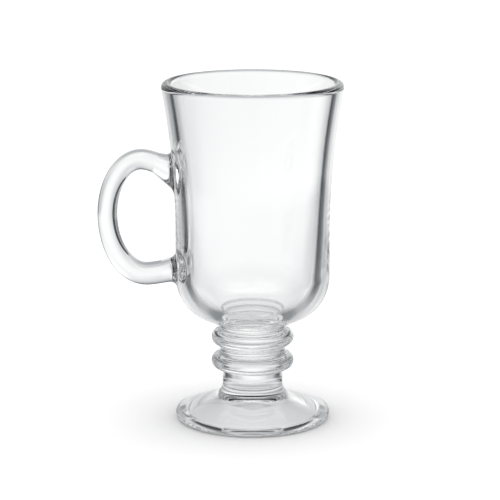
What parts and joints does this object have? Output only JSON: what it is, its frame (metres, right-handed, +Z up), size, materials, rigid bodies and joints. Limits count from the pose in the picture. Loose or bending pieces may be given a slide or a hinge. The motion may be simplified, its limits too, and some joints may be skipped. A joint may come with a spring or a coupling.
{
  "type": "footed glass coffee mug",
  "caption": "Clear glass coffee mug: flared bowl with a rounded lip and a loop handle, on a ring-knopped stem and a round conical foot.",
  "frame": {"origin": "on the axis of the bowl, in the plane of the ring that the foot stands on", "axes": "+Z up along the bowl's axis, -X towards the handle, +Y across the handle"},
  "size_m": [0.1029, 0.076, 0.144],
  "materials": {
    "bowl_glass": "fire-polished clear glass",
    "handle_glass": "fire-polished clear glass",
    "stem_glass": "pressed clear glass",
    "foot_glass": "pressed clear glass"
  },
  "bodies": {
    "root": {"bowl": "bowl_glass", "handle": "handle_glass", "stem": "stem_glass", "foot": "foot_glass"}
  },
  "joints": []
}
